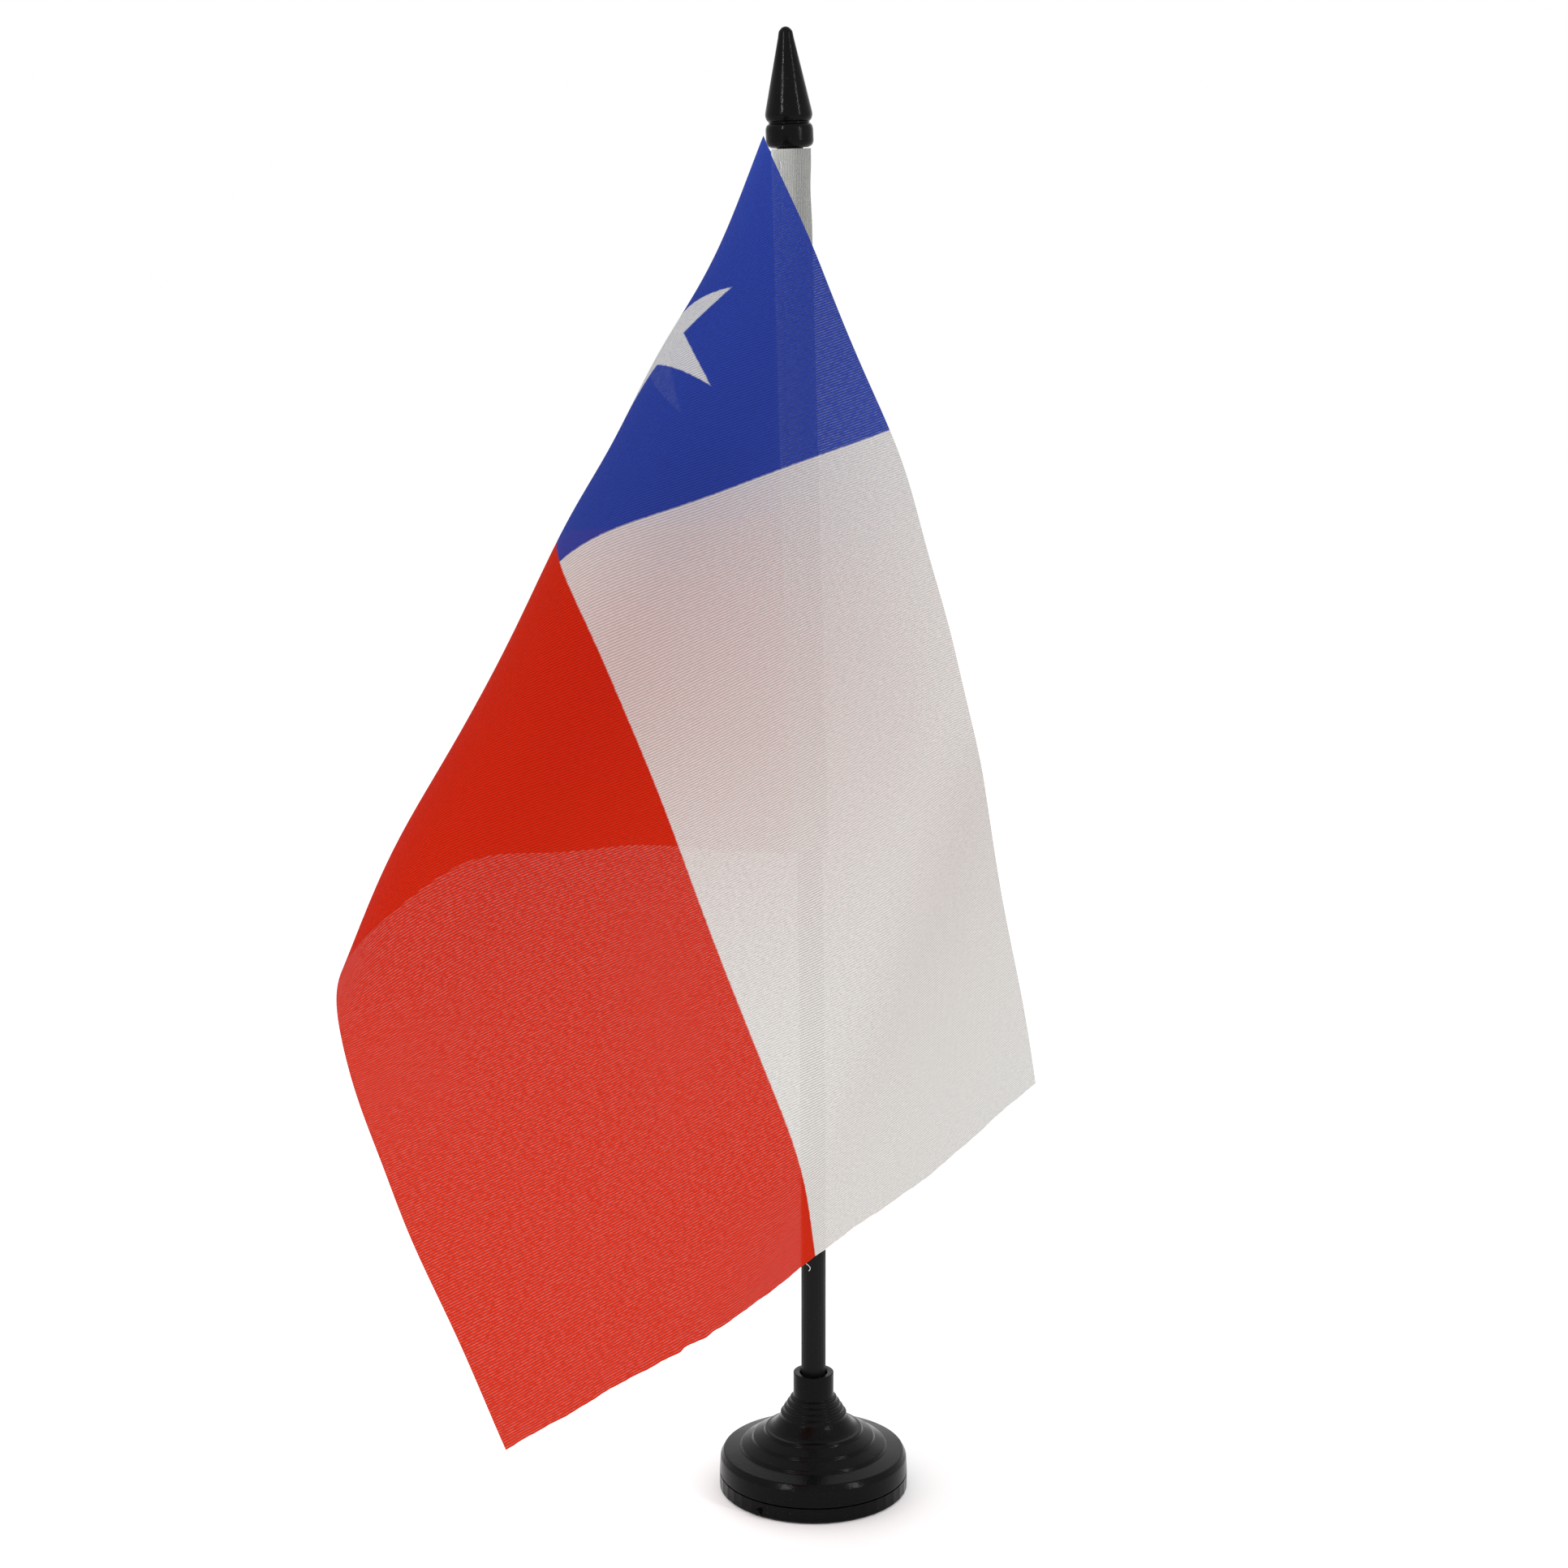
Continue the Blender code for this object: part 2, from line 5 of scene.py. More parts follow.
import bmesh
import bpy
import numpy as np
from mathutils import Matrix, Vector


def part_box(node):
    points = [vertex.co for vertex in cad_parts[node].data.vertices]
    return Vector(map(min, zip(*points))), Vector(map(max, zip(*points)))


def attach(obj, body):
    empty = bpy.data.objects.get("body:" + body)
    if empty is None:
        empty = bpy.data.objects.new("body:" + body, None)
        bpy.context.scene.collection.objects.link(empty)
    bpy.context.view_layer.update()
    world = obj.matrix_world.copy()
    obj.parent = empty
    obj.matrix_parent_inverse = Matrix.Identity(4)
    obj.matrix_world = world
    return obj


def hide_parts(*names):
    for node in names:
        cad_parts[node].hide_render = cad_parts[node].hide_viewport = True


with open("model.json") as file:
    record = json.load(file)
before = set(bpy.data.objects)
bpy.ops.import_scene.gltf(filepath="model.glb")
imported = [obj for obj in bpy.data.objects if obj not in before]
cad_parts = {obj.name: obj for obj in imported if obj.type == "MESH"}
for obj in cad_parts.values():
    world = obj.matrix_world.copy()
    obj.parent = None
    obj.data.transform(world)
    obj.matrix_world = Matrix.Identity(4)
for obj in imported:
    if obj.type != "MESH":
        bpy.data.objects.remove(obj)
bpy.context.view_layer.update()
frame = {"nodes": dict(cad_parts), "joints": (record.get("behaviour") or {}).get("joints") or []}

JOINTS = {joint["name"]: joint for joint in frame["joints"]}

# ---------------------------------------------------------------- sizes of the cloth (metres)
HOIST = 0.140
FLY = 0.210
SLEEVE_RADIUS = 0.0037          # middle of the cloth round the pole
HEM_WIDTH = 0.0085              # from the pole's centre to the seam
HEM_SPACING = 0.0005            # between the hem's two layers
HEM_END = 0.0080                # where the inner layer stops
HEM_HEADING = math.radians(41.4)
LAP_ANGLE = math.asin((SLEEVE_RADIUS - HEM_SPACING) / SLEEVE_RADIUS)
LOOP_ANGLE = 1.5 * math.pi + LAP_ANGLE      # how far the cloth goes round the pole
FOLD_SLANT = math.radians(38.1)
FOLD_TURN = math.radians(158.0)
CURL_TURN = math.radians(31.9)
FOLD_LEAD = 0.0529 * HOIST
FOLD_START = -0.1329 * HOIST
FOLD_WIDTH = 0.3236 * HOIST
CURL_START = 0.6457 * HOIST
CURL_WIDTH = 0.1429 * HOIST
FOLD_SAMPLES = 1401             # along the fold's profile
GRIP_LENGTH = 0.16 * HOIST      # how far the straight seam still pulls on the fold
HELD_LENGTH = 0.006             # beside the seam, over which the tugs fade in
CELL = 0.0008                   # of the cloth's mesh
RELAX_STEPS = 40
RELAX_PULL = 0.12               # share of a link's stretch taken out at each end in a step
RELAX_RETURN = 0.02             # share of the way back to the start in a step
FREE_LENGTH = 0.004             # beside the seam, over which the relaxing fades in
SMALLEST_LENGTH = 1e-9

HEM_LIFT, HEM_LIFT_FADE = 0.00045, 0.004            # the hem's top edge is drawn up
PUCKER_DEPTH, PUCKER_FADE = 0.0005, 0.010           # the loop is puckered under the finial
PUCKER_WAVES, PUCKER_PITCH = 3.0, 0.0022

# Where the cloth is tugged off the plain fold: (along, below), the move in x, y and z, and the reach, in mm.
TUGS = (
    ((8, 0), (-0.5, -1.5, 4.5), 12),        # the fold's corner rides up against the finial
    ((40, 36), (-0.5, 0.0, 1.5), 12),
    ((62, 66), (0.0, 0.0, 2.5), 13),
    ((75, 0), (1.5, 0.0, -0.5), 12),
    ((132, 3), (-2.5, 0.0, 0.0), 13),
    ((106, 0), (-1.5, 0.0, 1.0), 18),       # the curl is softest at the top edge
    ((158, 0), (-4.5, 0.0, 2.0), 24),
    ((210, 32), (-1.0, 0.0, -2.5), 15),     # a slack wave in the fly edge
    ((112, 70), (1.5, 0.0, -1.5), 18),
    ((176, 72), (-0.5, 0.0, 1.5), 18),
    ((170, 140), (-2.5, 0.0, 0.0), 15),
    ((128, 140), (2.0, 0.0, -2.5), 14),
    ((206, 140), (-0.5, 0.0, -2.0), 15),
    ((142, 140), (-1.5, 0.0, -0.5), 10),
    ((82, 140), (0.0, 8.0, 8.5), 15),
    ((46, 140), (0.0, 9.0, 7.0), 22),       # the back layer's lower edge bellies away
)

# The cut fly edge: waves of (size, rate, start), and jogs where a yarn has come away.
FRAY_WIDTH = 0.004
FRAY_WAVES = ((0.00010, 410, 0.0), (0.00005, 1130, 1.3), (0.00003, 3100, 0.0))
JOGS = (0.098, 0.104)
JOG_SIZE, JOG_RISE, JOG_FADE = 0.0005, 0.0008, 0.003

# Lock stitches through the hem, and two loose ends of thread as (start, sway).
STITCH_PITCH = 0.0024
STITCH_SHARE = 0.75             # of the pitch that a stitch covers
STITCH_MARGIN = 0.002           # left free at the top and at the bottom
STITCH_LINE = HEM_WIDTH - 0.0022
STITCH_LIFT, STITCH_ARCH = 0.00010, 0.00012
STITCH_POINTS = 7
THREAD_RADIUS = 0.00010
LOOSE_ENDS = ((0.0735, 0.9), (0.0760, -0.7))
LOOSE_SWAY, LOOSE_SWAY_RATE = 0.0009, 2.4
LOOSE_FORWARD, LOOSE_DROP = 0.0002, 0.0014
LOOSE_POINTS = 9
LOOSE_RADIUS = 0.00005
TUBE_ROUNDNESS = 2

# ---------------------------------------------------------------- print and weave (linear colours, metres)
RED = (0.56, 0.019, 0.003)
BLUE = (0.0246, 0.053, 0.326)
WHITE = (0.64, 0.64, 0.615)
CANTON = 0.070
STAR_CENTRE = (0.035, 0.035)
STAR_TIP = 0.0175
STAR_NOTCH = 0.006685
STAR_HALF_POINT = math.pi / 5
PRINT_BLUR = 0.00018
PRINT_WANDER = 0.0003
RIB_PITCH = 0.00045
RIB_WANDER = 0.6                # radians
# painted shade in the rib grooves and painted highlight on the rib crests, as factors on the print
RIB_PAINTED_SHADE, RIB_PAINTED_HIGHLIGHT = 0.78, 1.12
YARN_PITCH = 0.00030
YARN_HEIGHT = 0.35              # beside a rib's
STREAK_SCALE = 3400.0
STREAK_STRETCH = (1.0, 0.30, 1.0)
# painted glints: the print is lighter along the streaks and darker between them
PAINTED_GLINT_DARK, PAINTED_GLINT_LIGHT = 0.93, 1.06
STREAK_HEIGHT = 0.3             # beside a rib's
WEAVE_DEPTH = 0.00003
GLOW_SHARE = 0.66               # of the light that passes through the cloth
GAPS_FEW, GAPS_MANY = 0.05, 0.14

# ---------------------------------------------------------------- other colours (linear)
DUST = (0.02, 0.019, 0.018)
STEEL_DARK, STEEL_LIGHT = (0.34, 0.33, 0.32), (0.42, 0.41, 0.40)
STEEL_RING_PITCH = 0.00022
THREAD_DARK, THREAD_LIGHT = (0.66, 0.65, 0.64), (0.84, 0.83, 0.82)
FLOOR_WHITE = (0.92, 0.92, 0.92)
LIGHT_WHITE = (1.0, 1.0, 1.0)

# ---------------------------------------------------------------- turned pieces (metres)
SOCKET_RADIUS = 0.00285         # of the holes that the pole goes into
SOCKET_FLOOR = 0.0031
SOCKET_BEVEL = 0.0003
COLLAR_RADIUS = 0.0043
COLLAR_HEIGHT = 0.0053
STEP_COUNT, STEP_SHARE, STEP_DROP = 4, 0.05, 0.0011         # shares are of the top's run
FLARE_SHARE, FLARE_DROP = 0.24, 0.0028
FLARE_PARTS = (0.2, 0.4, 0.6, 0.8)
RING_COUNT, RINGS_SHARE, RING_DROP = 3, 0.56, 0.00177
RING_BEVEL_SHARE, RING_BEVEL_DROP = 0.1, 0.0007
LAST_SLOPE = 0.00123            # width between the last ring and the shoulder
SHOULDER_WIDTH, SHOULDER_HEIGHT = 0.0007, 0.0013
WALL_DRAFT = 0.0002             # and the bevel at the wall's foot
WALL_TOP = 0.0071
SEAM_HEIGHT = 0.0035            # where the shell meets the bottom plate
BASE_UNDERSIDE = (              # (radius, height), from the seam inwards
    (0.0182, SEAM_HEIGHT), (0.0182, 0.0019), (0.0169, 0.0019), (0.0169, 0.0065),    # lip inside the plate
    (0.0154, 0.0076), (0.0128, 0.0094), (0.0058, 0.0118),                           # hollow over the ballast
    (0.0058, 0.0060), (COLLAR_RADIUS, 0.0060), (COLLAR_RADIUS, 0.0019), (0.0, 0.0019),      # foot of the socket
)
BASE_ROUNDING, BASE_SIDES = 0.00022, 180
FINIAL_HEIGHT = 0.0233
BEAD_MIDDLE = 0.0025            # height of the finial's lower bead at its middle
FINIAL_OUTLINE = (              # (radius, height)
    (0.0, 0.01142), (SOCKET_RADIUS, 0.01142), (SOCKET_RADIUS, 0.0),                 # socket
    (0.0036, 0.0), (0.0044, 0.0004), (0.0047, 0.0011), (0.0047, 0.0037), (0.0045, 0.0044),      # bead
    (0.0040, 0.0048), (0.0040, 0.0050), (0.0044, 0.0054),                           # groove
    (0.00468, 0.0062), (0.0046, 0.0070), (0.0030, 0.0145), (0.00155, 0.0212),       # spear
    (0.00135, 0.0224), (0.0007, 0.0231), (0.0, FINIAL_HEIGHT),                      # blunt tip
)
FINIAL_ROUNDING, FINIAL_SIDES = 0.00035, 120
ROUNDING_SHARE = 0.42           # most of an edge that a rounded corner may take
ROUNDING_PARTS = (0.0, 0.25, 0.5, 0.75, 1.0)
SAME_POINT = 1e-6
SHARP_ANGLE = math.radians(50)

# ---------------------------------------------------------------- studio (metres, watts)
FLOOR_REACH = 3.0
FLOOR_DROP = 0.0001             # keeps the floor clear of the base's underside
FLOOR_GLOW = 0.08
AIM = Vector((0, 0, 0.15))
LIGHTS = (                      # name, place, width and height, power
    ("key", (-0.55, -0.75, 0.75), (0.02, 0.5), 4.0),
    ("fill", (0.6, -0.45, 0.45), (0.015, 0.4), 1.5),
    ("back", (0.1, 0.8, 0.6), (0.8, 0.6), 0.8),
)
LENS, SENSOR_WIDTH = 70.81, 36.0        # mm
CLIP_START = 0.01
CAMERA_PLACE = (-0.0063, -0.6197, 0.2811)
CAMERA_TILT = math.radians(78.39)


# ---------------------------------------------------------------- shader helpers
class Shader:
    """A short way of wiring one material's nodes."""

    def __init__(self, name):
        self.material = bpy.data.materials.new(name)
        self.material.use_nodes = True
        self.tree = self.material.node_tree
        self.principled = self.tree.nodes["Principled BSDF"]
        self.output = self.tree.nodes["Material Output"]

    def add(self, kind, inputs=None, **settings):
        item = self.tree.nodes.new(kind)
        for key, value in settings.items():
            setattr(item, key, value)
        for key, value in (inputs or {}).items():
            self.put(item.inputs[key], value)
        return item

    def put(self, socket, value):
        """Links an output to the socket, or sets the socket's own value."""
        if isinstance(value, bpy.types.NodeSocket):
            self.tree.links.new(value, socket)
        else:
            socket.default_value = value

    def surface(self, name, value):
        self.put(self.principled.inputs[name], value)

    def object_place(self):
        return self.add("ShaderNodeTexCoord").outputs["Object"]

    def math(self, operation, first, second=0.0):
        return self.add("ShaderNodeMath", {0: first, 1: second}, operation=operation).outputs[0]

    def ramp(self, value, low, high, start=0.0, end=1.0):
        """Runs smoothly from start to end while the value goes from low to high."""
        item = self.add(
            "ShaderNodeMapRange",
            {"Value": value, "From Min": low, "From Max": high, "To Min": start, "To Max": end},
            interpolation_type="SMOOTHSTEP",
        )
        return item.outputs["Result"]

    def mix(self, share, first, second):
        """The first colour, with this share of the second."""
        item = self.add("ShaderNodeMix", data_type="RGBA")
        self.put(item.inputs[0], share)
        self.put(item.inputs[6], first)
        self.put(item.inputs[7], second)
        return item.outputs[2]

    def noise(self, vector, scale, detail=2.0):
        item = self.add("ShaderNodeTexNoise", {"Scale": scale, "Detail": detail})
        self.put(item.inputs["Vector"], vector)
        return item.outputs["Fac"]

    def wobble(self, vector, scale, size):
        """Noise about zero."""
        return self.math("MULTIPLY", self.math("SUBTRACT", self.noise(vector, scale), 0.5), size)

    def phase(self, value, pitch):
        """The value as an angle that goes round once in a pitch."""
        return self.math("MULTIPLY", value, 2 * math.pi / pitch)

    def bump(self, height, distance, strength=1.0):
        item = self.add("ShaderNodeBump", {"Height": height, "Distance": distance, "Strength": strength})
        return item.outputs["Normal"]


def opaque(colour):
    return (*colour, 1.0)


def plastic(name, colour, roughness, grain, specular):
    """Moulded plastic with a fine orange peel, faint dust and a slightly uneven gloss."""
    shader = Shader(name)
    place = shader.object_place()
    broad = shader.noise(place, scale=160.0, detail=3.0)
    fine = shader.noise(place, scale=grain, detail=2.0)
    dust = shader.ramp(shader.noise(place, scale=2600.0, detail=1.0), low=0.70, high=0.80)
    lighter = tuple(min(1.0, 1.35 * part) for part in colour)
    body = shader.mix(broad, opaque(colour), opaque(lighter))
    shader.surface("Base Color", shader.mix(dust, body, opaque(DUST)))
    gloss = shader.ramp(broad, low=0.3, high=0.7, start=roughness - 0.05, end=roughness + 0.07)
    shader.surface("Roughness", gloss)
    shader.surface("Normal", shader.bump(fine, distance=0.00004))
    shader.surface("Specular IOR Level", specular)
    return shader.material


def steel(name):
    """Turned steel with fine rings."""
    shader = Shader(name)
    place = shader.object_place()
    split = shader.add("ShaderNodeSeparateXYZ", {"Vector": place})
    across = shader.math("POWER", split.outputs["X"], 2.0)
    radius = shader.math("SQRT", shader.math("ADD", across, shader.math("POWER", split.outputs["Y"], 2.0)))
    rings = shader.math("SINE", shader.phase(radius, STEEL_RING_PITCH))
    shader.surface("Normal", shader.bump(rings, distance=0.00002))
    cloudy = shader.noise(place, scale=220.0, detail=4.0)
    shader.surface("Base Color", shader.mix(cloudy, opaque(STEEL_DARK), opaque(STEEL_LIGHT)))
    shader.surface("Roughness", shader.ramp(cloudy, low=0.3, high=0.7, start=0.34, end=0.5))
    shader.surface("Metallic", 1.0)
    return shader.material


def thread_material():
    """Twisted white sewing thread."""
    shader = Shader("sewing_thread")
    twist = shader.noise(shader.object_place(), scale=5200.0, detail=2.0)
    shader.surface("Base Color", shader.mix(twist, opaque(THREAD_DARK), opaque(THREAD_LIGHT)))
    shader.surface("Roughness", shader.ramp(twist, low=0.2, high=0.8, start=0.65, end=0.85))
    shader.surface("Normal", shader.bump(twist, distance=0.00004))
    return shader.material


def star_mask(shader, along, below):
    """1 inside the five-pointed star, from distances folded into one of its ten halves."""
    right = shader.math("SUBTRACT", along, STAR_CENTRE[0])
    up = shader.math("SUBTRACT", STAR_CENTRE[1], below)
    squares = shader.math("ADD", shader.math("POWER", right, 2.0), shader.math("POWER", up, 2.0))
    radius = shader.math("SQRT", squares)
    angle = shader.math("ABSOLUTE", shader.math("ARCTAN2", right, up))
    half = shader.math("PINGPONG", angle, STAR_HALF_POINT)
    forward = shader.math("MULTIPLY", radius, shader.math("COSINE", half))
    aside = shader.math("MULTIPLY", radius, shader.math("SINE", half))
    notch = (STAR_NOTCH * math.cos(STAR_HALF_POINT), STAR_NOTCH * math.sin(STAR_HALF_POINT))
    normal = (notch[1], STAR_TIP - notch[0])
    length = math.hypot(*normal)
    reach = shader.math("SUBTRACT", forward, STAR_TIP)
    distance = shader.math(
        "ADD",
        shader.math("MULTIPLY", reach, normal[0] / length),
        shader.math("MULTIPLY", aside, normal[1] / length),
    )
    return shader.ramp(distance, -PRINT_BLUR, PRINT_BLUR, start=1.0, end=0.0)


def printed_colour(shader, along, below):
    """Blue canton with a white star, white beside it, red below, and hem and loop left unprinted."""
    low_half = shader.ramp(below, CANTON - PRINT_BLUR, CANTON + PRINT_BLUR)
    past_canton = shader.ramp(along, CANTON - PRINT_BLUR, CANTON + PRINT_BLUR)
    unprinted = shader.ramp(along, -PRINT_BLUR, PRINT_BLUR, start=1.0, end=0.0)
    upper = shader.mix(past_canton, opaque(BLUE), opaque(WHITE))
    star = star_mask(shader, along, below)
    star = shader.math("MULTIPLY", star, shader.math("SUBTRACT", 1.0, past_canton))
    upper = shader.mix(star, upper, opaque(WHITE))
    printed = shader.mix(low_half, upper, opaque(RED))
    return shader.mix(unprinted, printed, opaque(WHITE))


def cloth_material():
    """Thin ribbed polyester: print, ribs with painted shade in their grooves and painted highlights on their
    crests, painted glint streaks, open weave and light passing through.
    """
    shader = Shader("printed_ribbed_cloth")
    flat = shader.add("ShaderNodeUVMap", uv_map="flat").outputs["UV"]
    split = shader.add("ShaderNodeSeparateXYZ", {"Vector": flat})
    uneven = shader.wobble(flat, scale=900.0, size=PRINT_WANDER)
    along = shader.math("ADD", split.outputs["X"], uneven)
    below = shader.math("ADD", split.outputs["Y"], uneven)
    printed = printed_colour(shader, along, below)

    strands = shader.add("ShaderNodeMapping", {"Vector": flat, "Scale": STREAK_STRETCH}).outputs["Vector"]
    streak = shader.noise(strands, STREAK_SCALE, detail=2.0)
    wander = shader.wobble(flat, scale=120.0, size=RIB_WANDER)
    turn = shader.phase(split.outputs["X"], RIB_PITCH)
    rib = shader.math("SINE", shader.math("ADD", turn, wander))
    yarn = shader.math("SINE", shader.phase(split.outputs["Y"], YARN_PITCH))
    # painted shade: the print is darkened in each rib's groove and lightened on its crest as a painted highlight
    shade = shader.ramp(rib, low=-1.0, high=1.0, start=RIB_PAINTED_SHADE, end=RIB_PAINTED_HIGHLIGHT)
    # painted glint: the print is lighter along the streaks, where the weave also opens, and darker between them
    painted_glint = shader.ramp(streak, low=0.25, high=0.75, start=PAINTED_GLINT_DARK, end=PAINTED_GLINT_LIGHT)
    shade = shader.math("MULTIPLY", shade, painted_glint)
    shaded = shader.add("ShaderNodeVectorMath", operation="SCALE")
    shader.put(shaded.inputs[0], printed)
    shader.put(shaded.inputs["Scale"], shade)
    colour = shaded.outputs[0]

    height = shader.math("ADD", rib, shader.math("MULTIPLY", yarn, YARN_HEIGHT))
    height = shader.math("ADD", height, shader.math("MULTIPLY", streak, STREAK_HEIGHT))
    normal = shader.bump(height, distance=WEAVE_DEPTH, strength=0.8)
    shader.surface("Base Color", colour)
    shader.surface("Normal", normal)
    shader.surface("Roughness", shader.ramp(streak, low=0.2, high=0.8, start=0.72, end=0.9))
    shader.surface("Specular IOR Level", 0.12)
    shader.surface("Sheen Weight", 0.03)
    shader.surface("Sheen Roughness", 0.45)
    face = shader.principled.outputs[0]
    glow = shader.add("ShaderNodeBsdfTranslucent", {"Color": colour, "Normal": normal}).outputs[0]
    clear = shader.add("ShaderNodeBsdfTransparent").outputs[0]
    thin = shader.add("ShaderNodeMixShader", {0: GLOW_SHARE, 1: face, 2: glow}).outputs[0]
    groove = shader.ramp(rib, low=-1.0, high=-0.1, start=1.0, end=0.0)
    open_share = shader.ramp(streak, low=0.30, high=0.70, start=GAPS_FEW, end=GAPS_MANY)
    gaps = shader.math("MULTIPLY", groove, open_share)
    whole = shader.add("ShaderNodeMixShader", {0: gaps, 1: thin, 2: clear}).outputs[0]
    shader.put(shader.output.inputs["Surface"], whole)
    return shader.material


# ---------------------------------------------------------------- cloth
def unit(vector):
    return vector / np.linalg.norm(vector)


# The flag's own directions: up the pole, away from it along the hem, and out of the hem's face.
AXIS = unit(np.array(JOINTS["flag_turn"]["axis"], float))
CENTRE = np.array(JOINTS["flag_turn"]["pos_m"], float)
HEADING = np.array((-math.cos(HEM_HEADING), -math.sin(HEM_HEADING), 0.0))
HEADING = unit(HEADING - AXIS * (HEADING @ AXIS))
NORMAL = np.cross(AXIS, HEADING)


def eased(across, start, width, turn):
    """How far the cloth has turned, across a bend that starts and ends softly."""
    part = np.clip((across - start) / width, 0.0, 1.0)
    return turn * part * part * (3 - 2 * part)


def folded(along, below):
    """Points of the freely folded sheet."""
    reach = HOIST + FLY
    grid = np.linspace(-reach, reach, FOLD_SAMPLES)
    step = grid[1] - grid[0]
    middle = grid[:-1] + step / 2
    angle = eased(middle, FOLD_START, FOLD_WIDTH, FOLD_TURN) + eased(middle, CURL_START, CURL_WIDTH, CURL_TURN)
    forward = np.concatenate(([0.0], np.cumsum(np.cos(angle)))) * step - reach
    outward = np.concatenate(([0.0], np.cumsum(np.sin(angle)))) * step
    across = (along - FOLD_LEAD) * math.cos(FOLD_SLANT) - below * math.sin(FOLD_SLANT)
    beside = (along - FOLD_LEAD) * math.sin(FOLD_SLANT) + below * math.cos(FOLD_SLANT)
    down = -math.cos(FOLD_SLANT) * AXIS + math.sin(FOLD_SLANT) * HEADING
    over = math.sin(FOLD_SLANT) * AXIS + math.cos(FOLD_SLANT) * HEADING
    root = CENTRE + SLEEVE_RADIUS * NORMAL + (HEM_WIDTH + FOLD_LEAD) * HEADING
    return (
        root
        + beside[..., None] * down
        + np.interp(across, grid, forward)[..., None] * over
        + np.interp(across, grid, outward)[..., None] * NORMAL
    )


def hem(back, below):
    """Points of the hem and the loop round the pole, from the distance back from the seam."""
    turn = (back - HEM_WIDTH) / SLEEVE_RADIUS
    inner = SLEEVE_RADIUS * math.cos(LAP_ANGLE) + (back - HEM_WIDTH - LOOP_ANGLE * SLEEVE_RADIUS)
    angle = math.pi / 2 + np.clip(turn, 0.0, LOOP_ANGLE)
    along = np.where(back < HEM_WIDTH, HEM_WIDTH - back, SLEEVE_RADIUS * np.cos(angle))
    out = np.where(back < HEM_WIDTH, SLEEVE_RADIUS, SLEEVE_RADIUS * np.sin(angle))
    along = np.where(turn > LOOP_ANGLE, inner, along)
    out = np.where(turn > LOOP_ANGLE, SLEEVE_RADIUS - HEM_SPACING, out)
    lowered = below - HEM_LIFT * np.exp(-below / HEM_LIFT_FADE)
    wave = np.sin(PUCKER_WAVES * angle + below / PUCKER_PITCH)
    pucker = PUCKER_DEPTH * np.exp(-below / PUCKER_FADE) * wave
    stretch = 1 + np.sin(math.pi * np.clip(turn / LOOP_ANGLE, 0.0, 1.0)) * pucker / SLEEVE_RADIUS
    return (
        CENTRE
        + (along * stretch)[..., None] * HEADING
        + (out * stretch)[..., None] * NORMAL
        - lowered[..., None] * AXIS
    )


def loop_length():
    """Flat length of the cloth from the seam round the pole to the end of the inner layer."""
    inner = HEM_END - SLEEVE_RADIUS * math.cos(LAP_ANGLE)
    return HEM_WIDTH + LOOP_ANGLE * SLEEVE_RADIUS + inner


def shape(along, below):
    """Points of the whole sheet, before it is relaxed."""
    seam = CENTRE + SLEEVE_RADIUS * NORMAL + HEM_WIDTH * HEADING - below[..., None] * AXIS
    grip = np.clip(1 - along / GRIP_LENGTH, 0.0, 1.0)[..., None] ** 2
    field = folded(along, below) + grip * (seam - folded(np.zeros_like(along), below))
    held = np.clip(along / HELD_LENGTH, 0.0, 1.0)
    for (tug_along, tug_below), move, reach in TUGS:
        distance = ((along * 1000 - tug_along) ** 2 + (below * 1000 - tug_below) ** 2) / reach ** 2
        field = field + (np.exp(-0.5 * distance) * held)[..., None] * np.array(move) / 1000
    return np.where((along < 0)[..., None], hem(-np.minimum(along, 0.0), below), field)


def relaxed(points, along, below, free):
    """Evens out the stretch: each step pulls neighbours back to their flat distances."""
    start = points.copy()
    for _ in range(RELAX_STEPS):
        shift = np.zeros_like(points)
        for rows, columns in ((0, 1), (1, 0), (1, 1), (1, -1)):
            upper = slice(0, points.shape[0] - rows)
            lower = slice(rows, points.shape[0])
            left = slice(max(-columns, 0), points.shape[1] - max(columns, 0))
            right = slice(max(columns, 0), points.shape[1] - max(-columns, 0))
            aside = along[lower, right] - along[upper, left]
            rest = np.hypot(aside, below[lower, right] - below[upper, left])
            gap = points[lower, right] - points[upper, left]
            length = np.linalg.norm(gap, axis=-1)
            pull = (RELAX_PULL * (1 - rest / np.maximum(length, SMALLEST_LENGTH)))[..., None] * gap
            shift[upper, left] += pull
            shift[lower, right] -= pull
        points = points + free * shift + free * RELAX_RETURN * (start - points)
    return points


def cloth_grid():
    """Flat coordinates of the sheet's mesh, with a column of points on the seam."""
    back = loop_length()
    columns = int((FLY + back) / CELL) + 1
    rows = int(HOIST / CELL) + 1
    hem_columns = int(back / CELL)
    behind = np.linspace(-back, 0, hem_columns, endpoint=False)
    ahead = np.linspace(0, FLY, columns - hem_columns)
    along, below = np.meshgrid(np.concatenate((behind, ahead)), np.linspace(0, HOIST, rows))
    return along, below


def frayed(along, below):
    """The distance along, with small waves and jogs at the cut fly edge."""
    wave = sum(size * np.sin(below * rate + start) for size, rate, start in FRAY_WAVES)
    for jog in JOGS:
        rise = JOG_SIZE * np.clip((below - jog) / JOG_RISE, 0, 1)
        wave = wave + rise * np.exp(-np.clip(below - jog, 0, 1) / JOG_FADE)
    edge = np.clip((along - FLY + FRAY_WIDTH) / FRAY_WIDTH, 0, 1) ** 2
    return along + edge * wave


def placed(name, data):
    """A new object in the scene."""
    item = bpy.data.objects.new(name, data)
    bpy.context.scene.collection.objects.link(item)
    return item


